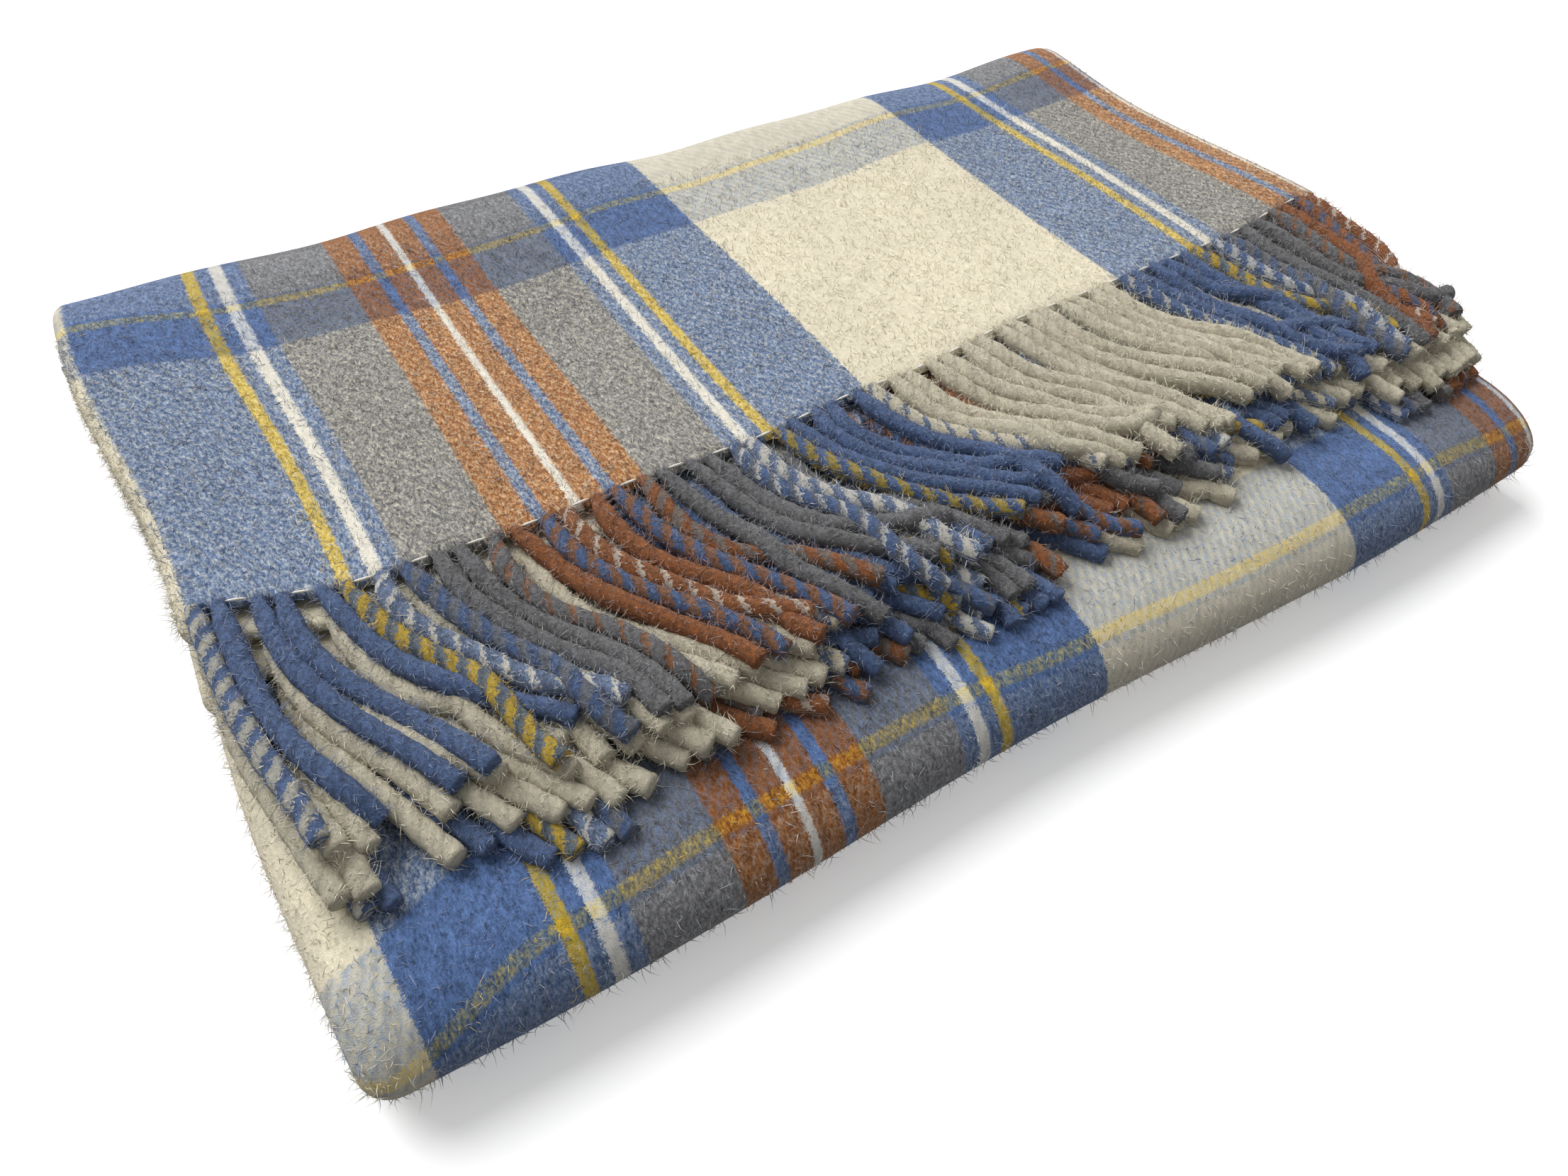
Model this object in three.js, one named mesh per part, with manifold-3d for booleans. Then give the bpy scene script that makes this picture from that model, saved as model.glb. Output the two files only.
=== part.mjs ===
// Folded tartan throw with twisted fringe, in millimetres.
// The throw is folded in half lengthwise at its left edge, folded in half crosswise at its front edge,
// and its back third is then turned forward over the top as a flap that carries both fringed ends.
// +X runs along the fringe, +Y to the back fold, +Z up. The origin is on the table under the middle.

import * as THREE from 'three';
import Module from 'manifold-3d';
import { mergeVertices } from 'three/addons/utils/BufferGeometryUtils.js';

// Folded size
const WIDTH = 660;
const DEPTH = 455;
const HEIGHT = 90;

// Where the flat runs of cloth stop and the folds at front and back begin
const FOLD_REACH = 45;
const RUN_FRONT = -DEPTH / 2 + FOLD_REACH;
const RUN_BACK = DEPTH / 2 - FOLD_REACH;
const LEFT = -WIDTH / 2;
const RIGHT = WIDTH / 2;

// Layers, from the table up: four in the base, four in the flap
const GAP = 1;
const BASE_TOP = 61.5;
const BASE_PLY = (BASE_TOP - 3 * GAP) / 4;
const FLAP_BOTTOM = BASE_TOP + GAP;
const FLAP_PLY = (HEIGHT - FLAP_BOTTOM - 3 * GAP) / 4;
const BUTT_GAP = 0.3;
const SELVEDGE_SETBACK = 4;

// The base thins towards its front fold, and the flap and fringe follow it down
const SLOPE_STEPS = 3;
const SLOPE_START = RUN_FRONT + (RUN_BACK - RUN_FRONT) / SLOPE_STEPS;
const SLOPE_DROP = 7.5;
const SLOPE = SLOPE_DROP / (SLOPE_START - RUN_FRONT);

// Fringe: where each layer of the flap ends, and its tassels
const FLAP_EDGES = [-84, -76, -60, -47];
const TASSEL_COUNT = 56;
const TASSEL_LENGTH = 118;
const TASSEL_WIDTH = 9;
const TASSEL_SIDES = 6;
const HEADER_DEPTH = 5;

const ARC_STEPS = 12;

const wasm = await Module();
wasm.setup();

const COLOURS = {
  blue: 0x5f80bb,
  cream: 0xe9e1cd,
  grey: 0x85868a,
  orange: 0xb36a2e,
};

const drop = (y) => SLOPE * Math.max(0, SLOPE_START - y);
const baseLevel = (z, y) => (z * (BASE_TOP - drop(y))) / BASE_TOP;
const flapLevel = (z, y) => z - drop(y);

const baseFloor = (index) => index * (BASE_PLY + GAP);
const baseCeiling = (index) => baseFloor(index) + BASE_PLY;
const flapFloor = (index) => FLAP_BOTTOM + index * (FLAP_PLY + GAP);
const flapCeiling = (index) => flapFloor(index) + FLAP_PLY;

// Closed outline in the Y-Z plane, extruded along X
function alongX(points, x0, x1) {
  const shape = new THREE.Shape(points.map(([y, z]) => new THREE.Vector2(y, z)));
  const geometry = new THREE.ExtrudeGeometry(shape, { depth: x1 - x0, bevelEnabled: false });
  geometry.applyMatrix4(new THREE.Matrix4().set(0, 0, 1, x0, 1, 0, 0, 0, 0, 1, 0, 0, 0, 0, 0, 1));
  return geometry;
}

// Closed outline in the X-Z plane, extruded along Y from y0 to y1
function alongY(points, y0, y1, steps) {
  const shape = new THREE.Shape(points.map(([x, z]) => new THREE.Vector2(x, z)));
  const geometry = new THREE.ExtrudeGeometry(shape, { depth: y1 - y0, steps, bevelEnabled: false });
  geometry.applyMatrix4(new THREE.Matrix4().set(1, 0, 0, 0, 0, 0, -1, y1, 0, 1, 0, 0, 0, 0, 0, 1));
  return geometry;
}

// Half an ellipse that bulges towards +side, from its lower end to its upper end
function halfArc(y, zLow, zHigh, reach, side) {
  const middle = (zLow + zHigh) / 2;
  const half = (zHigh - zLow) / 2;
  const points = [];
  for (let i = 0; i <= ARC_STEPS; i += 1) {
    const angle = -Math.PI / 2 + (Math.PI * i) / ARC_STEPS;
    points.push([y + side * reach * Math.cos(angle), middle + half * Math.sin(angle)]);
  }
  return points;
}

// A layer lying flat from yFront to yBack, on the slope of its part of the stack
function ply(zLow, zHigh, yFront, yBack, level, x1) {
  const rows = [yFront, SLOPE_START, yBack].filter((y, i) => i !== 1 || yFront < SLOPE_START);
  const lower = rows.map((y) => [y, level(zLow, y)]);
  const upper = rows.map((y) => [y, level(zHigh, y)]).reverse();
  return [lower.concat(upper), x1];
}

// The bend of the lengthwise fold: it joins two layers along their left edge
function leftBend(zLow, zHigh, yFront, yBack, level) {
  const radius = (zHigh - zLow) / 2;
  const outline = [];
  for (let i = 0; i <= ARC_STEPS; i += 1) {
    const angle = Math.PI / 2 + (Math.PI * i) / ARC_STEPS;
    outline.push([LEFT + radius + radius * Math.cos(angle), zLow + radius + radius * Math.sin(angle)]);
  }
  const geometry = alongY(outline, yFront, yBack, SLOPE_STEPS);
  const position = geometry.attributes.position;
  for (let i = 0; i < position.count; i += 1) {
    position.setZ(i, level(position.getZ(i), position.getY(i)));
  }
  return geometry;
}

// A crosswise fold: a C-shaped band between an outer and an inner half ellipse
function foldBand(y, side, outer, inner, x0, x1) {
  const outerArc = halfArc(y, outer.low, outer.high, outer.reach, side);
  const innerArc = halfArc(y, inner.low, inner.high, inner.reach, side).reverse();
  const outline = outerArc.concat(innerArc);
  return alongX(side > 0 ? outline : outline.reverse(), x0, x1);
}

function toManifold(geometry) {
  const bare = geometry.clone();
  bare.deleteAttribute('normal');
  bare.deleteAttribute('uv');
  const merged = mergeVertices(bare, 1e-4);
  const vertProperties = new Float32Array(merged.attributes.position.array);
  const triVerts = new Uint32Array(merged.index.array);
  return new wasm.Manifold(new wasm.Mesh({ numProp: 3, vertProperties, triVerts }));
}

function toGeometry(manifold) {
  const mesh = manifold.getMesh();
  const geometry = new THREE.BufferGeometry();
  geometry.setAttribute('position', new THREE.BufferAttribute(new Float32Array(mesh.vertProperties), 3));
  geometry.setIndex(new THREE.BufferAttribute(new Uint32Array(mesh.triVerts), 1));
  geometry.computeVertexNormals();
  return geometry;
}

// One row of fringe: a narrow header at the cloth's end, and the tassels that leave it
function fringe(index) {
  const low = flapFloor(index);
  const high = flapCeiling(index);
  const yRoot = FLAP_EDGES[index] - BUTT_GAP;
  const yHeader = yRoot - HEADER_DEPTH;
  const header = [
    [yHeader, flapLevel(low, yHeader)],
    [yRoot, flapLevel(low, yRoot)],
    [yRoot, flapLevel(high, yRoot)],
    [yHeader, flapLevel(high, yHeader)],
  ];
  const tassels = [];
  const pitch = WIDTH / TASSEL_COUNT;
  const middle = (low + high) / 2;
  const half = (high - low) / 2;
  for (let i = 0; i < TASSEL_COUNT; i += 1) {
    const x = LEFT + pitch * (i + 0.5);
    const outline = [];
    for (let side = 0; side < TASSEL_SIDES; side += 1) {
      const angle = (2 * Math.PI * side) / TASSEL_SIDES;
      const across = (TASSEL_WIDTH / 2) * Math.cos(angle);
      const up = (half * Math.sin(angle)) / Math.sin(Math.PI / 3);
      outline.push([x + across, middle + up]);
    }
    const tassel = alongY(outline, yRoot - TASSEL_LENGTH, yRoot - HEADER_DEPTH / 2, 1);
    const position = tassel.attributes.position;
    for (let v = 0; v < position.count; v += 1) {
      position.setZ(v, flapLevel(position.getZ(v), position.getY(v)));
    }
    tassels.push(toManifold(tassel));
  }
  const margin = (pitch - TASSEL_WIDTH) / 2;
  let body = toManifold(alongX(header, LEFT + margin, RIGHT - margin));
  for (const tassel of tassels) {
    body = body.add(tassel);
  }
  return toGeometry(body);
}

const throwBlanket = new THREE.Group();
throwBlanket.name = 'folded_throw';

function addNode(name, geometry, colour) {
  const material = new THREE.MeshStandardMaterial({ color: colour, roughness: 0.95, metalness: 0 });
  const mesh = new THREE.Mesh(geometry, material);
  mesh.name = name;
  throwBlanket.add(mesh);
}

// Base: four layers on the table, outer face down at the bottom and up at the top
const BASE_NAMES = ['base_bottom_face', 'base_bottom_lining', 'base_top_lining', 'base_top_face'];
const BASE_COLOURS = [COLOURS.blue, COLOURS.grey, COLOURS.grey, COLOURS.blue];
const bendReach = BASE_PLY + GAP / 2;
BASE_NAMES.forEach((name, index) => {
  const isLining = index === 1 || index === 2;
  const right = RIGHT - (isLining ? SELVEDGE_SETBACK : 0);
  const left = LEFT + bendReach + BUTT_GAP;
  const [outline, x1] = ply(
    baseFloor(index), baseCeiling(index), RUN_FRONT + BUTT_GAP, RUN_BACK - BUTT_GAP, baseLevel, right,
  );
  addNode(name, alongX(outline, left, x1), BASE_COLOURS[index]);
});
addNode(
  'base_left_fold_lower',
  leftBend(baseFloor(0), baseCeiling(1), RUN_FRONT, RUN_BACK, baseLevel),
  COLOURS.cream,
);
addNode(
  'base_left_fold_upper',
  leftBend(baseFloor(2), baseCeiling(3), RUN_FRONT, RUN_BACK, baseLevel),
  COLOURS.cream,
);

// Front fold: the crosswise middle of the throw, a face layer around a lining layer
const frontLevel = (z) => baseLevel(z, RUN_FRONT);
addNode(
  'front_fold_face',
  foldBand(
    RUN_FRONT, -1,
    { low: frontLevel(baseFloor(0)), high: frontLevel(baseCeiling(3)), reach: FOLD_REACH },
    { low: frontLevel(baseCeiling(0)), high: frontLevel(baseFloor(3)), reach: FOLD_REACH - BASE_PLY },
    LEFT, RIGHT,
  ),
  COLOURS.grey,
);
addNode(
  'front_fold_lining',
  foldBand(
    RUN_FRONT, -1,
    {
      low: frontLevel(baseFloor(1)),
      high: frontLevel(baseCeiling(2)),
      reach: FOLD_REACH - BASE_PLY - GAP,
    },
    {
      low: frontLevel(baseCeiling(1)),
      high: frontLevel(baseFloor(2)),
      reach: FOLD_REACH - 2 * BASE_PLY - GAP,
    },
    LEFT + SELVEDGE_SETBACK, RIGHT - SELVEDGE_SETBACK,
  ),
  COLOURS.grey,
);

// Flap: four layers, mirrored, so the throw's outer face is on top
const FLAP_NAMES = ['flap_under_face', 'flap_under_lining', 'flap_top_lining', 'flap_top_face'];
const FLAP_COLOURS = [COLOURS.blue, COLOURS.grey, COLOURS.grey, COLOURS.blue];
const flapBendReach = FLAP_PLY + GAP / 2;
FLAP_NAMES.forEach((name, index) => {
  const isLining = index === 1 || index === 2;
  const right = RIGHT - (isLining ? SELVEDGE_SETBACK : 0);
  const left = LEFT + flapBendReach + BUTT_GAP;
  const [outline, x1] = ply(
    flapFloor(index), flapCeiling(index), FLAP_EDGES[index], RUN_BACK - BUTT_GAP, flapLevel, right,
  );
  addNode(name, alongX(outline, left, x1), FLAP_COLOURS[index]);
});
addNode(
  'flap_left_fold_lower',
  leftBend(flapFloor(0), flapCeiling(1), SLOPE_START, RUN_BACK, flapLevel),
  COLOURS.cream,
);
addNode(
  'flap_left_fold_upper',
  leftBend(flapFloor(2), flapCeiling(3), FLAP_EDGES[3], RUN_BACK, flapLevel),
  COLOURS.cream,
);

// Back fold: four bands, one inside the next, from the table round to the flap's top
const BACK_NAMES = ['back_fold_outer_face', 'back_fold_outer_lining', 'back_fold_inner_lining', 'back_fold_inner_face'];
const BACK_COLOURS = [COLOURS.orange, COLOURS.grey, COLOURS.grey, COLOURS.blue];
const BAND_THICKNESS = 8;
const BAND_GAP = 1;
BACK_NAMES.forEach((name, index) => {
  const top = 3 - index;
  const reach = FOLD_REACH - index * (BAND_THICKNESS + BAND_GAP);
  addNode(
    name,
    foldBand(
      RUN_BACK, 1,
      { low: baseFloor(index), high: flapCeiling(top), reach },
      { low: baseCeiling(index), high: flapFloor(top), reach: reach - BAND_THICKNESS },
      LEFT, RIGHT,
    ),
    BACK_COLOURS[index],
  );
});

// Fringe: one row at the end of each flap layer
const FRINGE_NAMES = ['fringe_under_face', 'fringe_under_lining', 'fringe_top_lining', 'fringe_top_face'];
const FRINGE_COLOURS = [COLOURS.blue, COLOURS.cream, COLOURS.cream, COLOURS.orange];
FRINGE_NAMES.forEach((name, index) => {
  addNode(name, fringe(index), FRINGE_COLOURS[index]);
});

export default throwBlanket;
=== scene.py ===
import math

import bpy
import numpy as np
from mathutils import Matrix, Vector


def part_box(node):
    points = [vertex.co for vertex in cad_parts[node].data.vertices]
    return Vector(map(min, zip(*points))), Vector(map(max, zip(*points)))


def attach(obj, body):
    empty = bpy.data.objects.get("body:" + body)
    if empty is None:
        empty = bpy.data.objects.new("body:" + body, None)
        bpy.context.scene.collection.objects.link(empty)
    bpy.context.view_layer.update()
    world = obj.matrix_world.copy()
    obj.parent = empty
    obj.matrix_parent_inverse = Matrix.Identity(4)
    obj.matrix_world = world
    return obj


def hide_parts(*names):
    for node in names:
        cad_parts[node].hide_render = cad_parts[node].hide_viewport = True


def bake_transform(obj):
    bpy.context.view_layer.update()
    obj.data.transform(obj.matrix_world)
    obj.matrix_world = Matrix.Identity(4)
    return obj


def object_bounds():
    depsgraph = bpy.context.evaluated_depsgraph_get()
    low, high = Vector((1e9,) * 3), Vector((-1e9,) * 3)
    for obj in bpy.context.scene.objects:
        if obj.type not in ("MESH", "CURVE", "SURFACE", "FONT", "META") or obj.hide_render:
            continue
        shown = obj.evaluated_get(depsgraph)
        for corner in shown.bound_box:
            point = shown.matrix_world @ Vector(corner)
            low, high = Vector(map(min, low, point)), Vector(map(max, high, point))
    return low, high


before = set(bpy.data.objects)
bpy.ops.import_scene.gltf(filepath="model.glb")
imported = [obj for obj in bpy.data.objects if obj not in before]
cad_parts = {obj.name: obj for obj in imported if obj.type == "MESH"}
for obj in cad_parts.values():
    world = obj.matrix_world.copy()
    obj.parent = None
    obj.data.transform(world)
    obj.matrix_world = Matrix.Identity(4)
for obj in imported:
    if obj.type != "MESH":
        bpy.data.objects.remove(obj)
CAD_LOW, CAD_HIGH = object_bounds()
LEFT, RIGHT = CAD_LOW.x, CAD_HIGH.x
FRONT = CAD_LOW.y
TOP = CAD_HIGH.z
WIDTH = RIGHT - LEFT

# Where the flat runs stop and the folds begin
RUN_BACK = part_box("back_fold_outer_face")[0].y
RUN_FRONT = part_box("front_fold_face")[1].y

# Cloth thickness, brushed pile included
BASE_CLOTH = 0.009
FLAP_CLOTH = 0.0055

# At the right edge a pair's lower layer ends this much further in, and each layer thins by this share
SELVEDGE_SETBACK = 0.004
SELVEDGE_THINNING = 0.45

# Heights between which cloth turns over the hinge: the outer wrap's and the inner back fold's
HINGE_RAMP_OUTER = (0.031, 0.064)

# Tartan: each colour and where it ends, from the middle of the cream band to the middle of the white line.
# The order then runs back. The weft's yellow lies nearer the cream, with a misty grey beyond it.
SETT = (
    ("cream", 0.0888),
    ("blue", 0.1443),
    ("yellow", 0.1495),
    ("blue", 0.1570),
    ("white", 0.1621),
    ("blue", 0.1697),
    ("grey", 0.2129),
    ("orange", 0.2270),
    ("blue", 0.2327),
    ("orange", 0.2442),
    ("white", 0.24675),
)
WEFT_SETT = (
    ("cream", 0.0888),
    ("blue", 0.1250),
    ("yellow", 0.1308),
    ("blue", 0.1338),
    ("mist", 0.1697),
    ("grey", 0.2129),
    ("orange", 0.2442),
    ("white", 0.24675),
)
HALF_REPEAT = SETT[-1][1]
PALETTE = {
    "cream": (233, 224, 198),
    "blue": (84, 110, 156),
    "yellow": (208, 174, 52),
    "white": (236, 232, 222),
    "grey": (120, 120, 122),
    "mist": (158, 160, 164),
    "orange": (158, 92, 38),
}

# Where the middle of a cream band lies: across the flap, across the base, and along each from its own start
FLAP_CREAM_X = 0.080
BASE_CREAM_X = 0.098
FLAP_CREAM_FROM_FRINGE = 0.085
BASE_CREAM_BEHIND_ROLL = 0.097

# The base's cloth is eased a little towards the right end, and its weft rises there
BASE_EASE = 0.020
BASE_WEFT_RISE = 0.013

WARP_PITCH = 0.001375
WEFT_PITCH = 0.00217

# Fringe
TASSEL_COUNT = 56
TASSEL_PITCH = WIDTH / TASSEL_COUNT
TASSEL_LENGTH = 0.118
TASSEL_RADIUS = 0.0047
TWIST_PERIOD = 0.0115
PLIES = 2
YARNS = 4
PAIR_PINCH = 0.0014
ROWS = (
    ("fringe_top_face", "flap_top_face", False),
    ("fringe_top_lining", "flap_top_lining", True),
    ("fringe_under_lining", "flap_under_lining", True),
    ("fringe_under_face", "flap_under_face", False),
)

# How far the fringed edge lies forward or back of straight, from the left fold to the right edge
EDGE_X = (-0.33, -0.25, -0.17, -0.09, 0.0, 0.17, 0.25, 0.33)
EDGE_BOW = (0.015, -0.006, -0.010, -0.009, -0.004, 0.007, 0.007, 0.012)

random = np.random.default_rng(7)


def smooth(t):
    t = np.clip(t, 0, 1)
    return t * t * (3 - 2 * t)


def edge_bow(x):
    """How far back of straight the fringed edge is at x."""
    xs = np.array(EDGE_X)
    i = np.clip(np.searchsorted(xs, x) - 1, 0, len(xs) - 2)
    t = smooth((x - xs[i]) / (xs[i + 1] - xs[i]))
    low, high = np.array(EDGE_BOW)[i], np.array(EDGE_BOW)[i + 1]
    return low + (high - low) * t


def settle(p):
    """The lean and ripple of the whole throw: one smooth movement that cloth and tassels share.

    Heights change in proportion to the height, so the underside stays on the table.
    """
    p = np.array(p, float)
    x, y, z = p[..., 0].copy(), p[..., 1].copy(), p[..., 2].copy()
    high = z / TOP
    right = smooth((x - 0.19) / 0.14)
    left = smooth((-0.19 - x) / 0.14)
    front = smooth((-0.13 - y) / 0.09)
    ripple = 0.0012 * np.sin(2 * math.pi * (x / 0.23 + y / 0.37) + 0.4)
    ripple += 0.0008 * np.sin(2 * math.pi * (x / 0.11 - y / 0.29) + 2.1)
    # The right end and the back fold stand a little higher, and the front left corner lies lower
    back = smooth((y - 0.10) / 0.11)
    rise = 0.005 * right * smooth((y + 0.16) / 0.14) + 0.0025 * back
    p[..., 2] = z + high * (ripple + rise) - high * 0.003 * left * front
    # The right edge and the left fold wave. The left fold is wider at the table and towards the back.
    p[..., 0] = x + right * 0.0045 * np.sin(2 * math.pi * y / 0.31 + 2.6)
    p[..., 0] += left * (0.0025 * np.sin(2 * math.pi * y / 0.26 + 1.0) - 0.003 * (1 - high))
    p[..., 0] -= 0.009 * left * smooth((y + 0.05) / 0.22)
    # The front roll waves, and the back fold stands further back
    p[..., 1] = y + front * 0.003 * np.sin(2 * math.pi * x / 0.43 + 1.9) + 0.005 * back
    return p


# ---- colour ----


def linear(name):
    """A palette colour as linear red, green, blue."""
    c = np.array(PALETTE[name]) / 255
    return np.where(c <= 0.04045, c / 12.92, ((c + 0.055) / 1.055) ** 2.4)


def sett_colour(at, bands=SETT):
    """The tartan's yarn colour at each distance from the middle of a cream band."""
    m = np.abs(np.mod(np.asarray(at) + HALF_REPEAT, 2 * HALF_REPEAT) - HALF_REPEAT)
    ends = np.array([end for _, end in bands])
    colours = np.array([linear(name) for name, _ in bands])
    return colours[np.clip(np.searchsorted(ends, m), 0, len(bands) - 1)]


class Nodes:
    """A short way to write a node tree."""

    def __init__(self, tree):
        self.tree = tree

    def add(self, kind, inputs=(), **settings):
        node = self.tree.nodes.new(kind)
        for key, value in settings.items():
            setattr(node, key, value)
        for key, value in dict(inputs).items():
            self.feed(node.inputs[key], value)
        return node

    def feed(self, socket, value):
        if isinstance(value, bpy.types.NodeSocket):
            self.tree.links.new(value, socket)
        else:
            socket.default_value = value

    def math(self, operation, a, b=0.0):
        return self.add("ShaderNodeMath", {0: a, 1: b}, operation=operation).outputs[0]

    def times(self, a, b):
        return self.math("MULTIPLY", a, b)

    def total(self, *values):
        result = values[0]
        for value in values[1:]:
            result = self.math("ADD", result, value)
        return result

    def noise(self, vector, scale, detail=2.0, roughness=0.5):
        inputs = {"Vector": vector, "Scale": scale, "Detail": detail, "Roughness": roughness}
        return self.add("ShaderNodeTexNoise", inputs).outputs["Fac"]

    def span(self, value, low, high, to_low=0.0, to_high=1.0):
        inputs = {"Value": value, "From Min": low, "From Max": high, "To Min": to_low, "To Max": to_high}
        return self.add("ShaderNodeMapRange", inputs).outputs["Result"]

    def mix(self, factor, a, b, blend_type="MIX"):
        node = self.add("ShaderNodeMix", data_type="RGBA", blend_type=blend_type)
        self.feed(node.inputs["Factor"], factor)
        self.feed(node.inputs[6], a)
        self.feed(node.inputs[7], b)
        return node.outputs[2]

    def blend_yarns(self, factor, a, b):
        """Mixes two yarn colours the way the eye does, so that neither swamps the other."""
        eye = [self.add("ShaderNodeGamma", {"Color": c, "Gamma": 1 / 2.2}).outputs[0] for c in (a, b)]
        mixed = self.mix(factor, eye[0], eye[1])
        return self.add("ShaderNodeGamma", {"Color": mixed, "Gamma": 2.2}).outputs[0]

    def bump(self, height, strength, distance):
        inputs = {"Height": height, "Strength": strength, "Distance": distance}
        return self.add("ShaderNodeBump", inputs).outputs["Normal"]

    def grey(self, value):
        return self.add("ShaderNodeCombineColor", {0: value, 1: value, 2: value}).outputs[0]

    def stretch(self, vector, scale):
        inputs = {0: vector, 1: scale}
        return self.add("ShaderNodeVectorMath", inputs, operation="MULTIPLY").outputs[0]


def sett_group(name, bands):
    """Node group: distance from the middle of a cream band in, yarn colour out."""
    tree = bpy.data.node_groups.new(name, "ShaderNodeTree")
    tree.interface.new_socket("Distance", in_out="INPUT", socket_type="NodeSocketFloat")
    tree.interface.new_socket("Color", in_out="OUTPUT", socket_type="NodeSocketColor")
    n = Nodes(tree)
    inlet = n.add("NodeGroupInput")
    outlet = n.add("NodeGroupOutput")
    folded = n.math("PINGPONG", inlet.outputs["Distance"], HALF_REPEAT)
    ramp = n.add("ShaderNodeValToRGB", {"Fac": n.math("DIVIDE", folded, HALF_REPEAT)})
    ramp.color_ramp.interpolation = "CONSTANT"
    start = 0.0
    for index, (name, end) in enumerate(bands):
        elements = ramp.color_ramp.elements
        stop = elements[0] if index == 0 else elements.new(start / HALF_REPEAT)
        stop.color = (*linear(name), 1)
        start = end
    last = ramp.color_ramp.elements[-1]
    last.color = (*linear(bands[-1][0]), 1)
    tree.links.new(ramp.outputs["Color"], outlet.inputs["Color"])
    return tree


def new_material(name):
    material = bpy.data.materials.new(name)
    material.use_nodes = True
    tree = material.node_tree
    tree.nodes.clear()
    return material, Nodes(tree)


def show_surface(n, shader):
    """Makes a shader node the surface of its material."""
    out = n.add("ShaderNodeOutputMaterial")
    n.tree.links.new(shader.outputs[0], out.inputs["Surface"])


def wool_shader(n, colour, roughness, normal, sheen):
    """A soft wool surface from its colour, roughness and normal."""
    inputs = {"Base Color": colour, "Roughness": roughness, "Normal": normal, "Sheen Weight": sheen}
    shader = n.add("ShaderNodeBsdfPrincipled", inputs)
    shader.inputs["Sheen Roughness"].default_value = 0.55
    shader.inputs["Specular IOR Level"].default_value = 0.12
    show_surface(n, shader)


def cloth_material(warp_group, weft_group):
    """Brushed 2/2 twill: warp and weft each take the tartan, and the warp covers more of the face."""
    material, n = new_material("wool_twill")
    cloth = n.add("ShaderNodeUVMap", uv_map="cloth").outputs["UV"]
    blotch = n.noise(n.stretch(cloth, (1.0, 0.45, 1.0)), 250.0, 3.0, 0.65)
    clump = n.noise(n.stretch(cloth, (1.0, 0.6, 1.0)), 520.0, 3.0, 0.7)
    fleck = n.noise(n.stretch(cloth, (1.0, 0.5, 1.0)), 980.0, 3.0, 0.75)
    fibre = n.noise(n.stretch(cloth, (0.55, 1.0, 1.0)), 2100.0, 3.0, 0.75)
    ragged = n.total(n.times(clump, 0.4), n.times(fibre, 0.6))
    wander = n.times(n.math("SUBTRACT", ragged, 0.5), 0.0110)
    axes = n.add("ShaderNodeSeparateXYZ", {"Vector": cloth})
    warp = n.add("ShaderNodeGroup", node_tree=warp_group)
    n.feed(warp.inputs[0], n.total(axes.outputs["X"], wander))
    weft = n.add("ShaderNodeGroup", node_tree=weft_group)
    n.feed(weft.inputs[0], n.total(axes.outputs["Y"], wander))
    ends = n.math("DIVIDE", axes.outputs["X"], 4 * WARP_PITCH)
    picks = n.math("DIVIDE", axes.outputs["Y"], 4 * WEFT_PITCH)
    shaken = n.total(n.total(ends, picks), n.times(clump, 1.1))
    twill = n.times(n.math("PINGPONG", shaken, 0.5), 2.0)
    broken = n.total(n.span(clump, 0.32, 0.68, -0.42, 0.42), n.span(fleck, 0.32, 0.68, -0.55, 0.55))
    speckled = n.total(n.times(twill, 0.42), broken)
    warp_up = n.span(speckled, 0.95, -0.20, 0.36, 0.93)
    yarn = n.blend_yarns(warp_up, weft.outputs[0], warp.outputs[0])
    dark = n.math("SUBTRACT", 1.08, n.add("ShaderNodeRGBToBW", {"Color": yarn}).outputs[0])
    grain = n.total(
        n.span(fleck, 0.3, 0.7, -0.45, 0.45),
        n.span(fibre, 0.3, 0.7, -0.35, 0.35),
        n.span(clump, 0.3, 0.7, -0.40, 0.40),
        n.span(blotch, 0.3, 0.7, -0.30, 0.30),
    )
    heather = n.total(n.times(grain, dark), 1.0)
    shade = n.times(heather, n.span(n.noise(cloth, 14.0), 0.3, 0.7, 0.96, 1.04))
    colour = n.mix(1.0, yarn, n.grey(shade), "MULTIPLY")
    height = n.total(n.times(warp_up, 0.4), n.times(fleck, 0.9), n.times(fibre, 0.6))
    roughness = n.span(clump, 0.2, 0.8, 0.84, 0.98)
    wool_shader(n, colour, roughness, n.bump(height, 0.75, 0.0011), 0.16)
    return material


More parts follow.
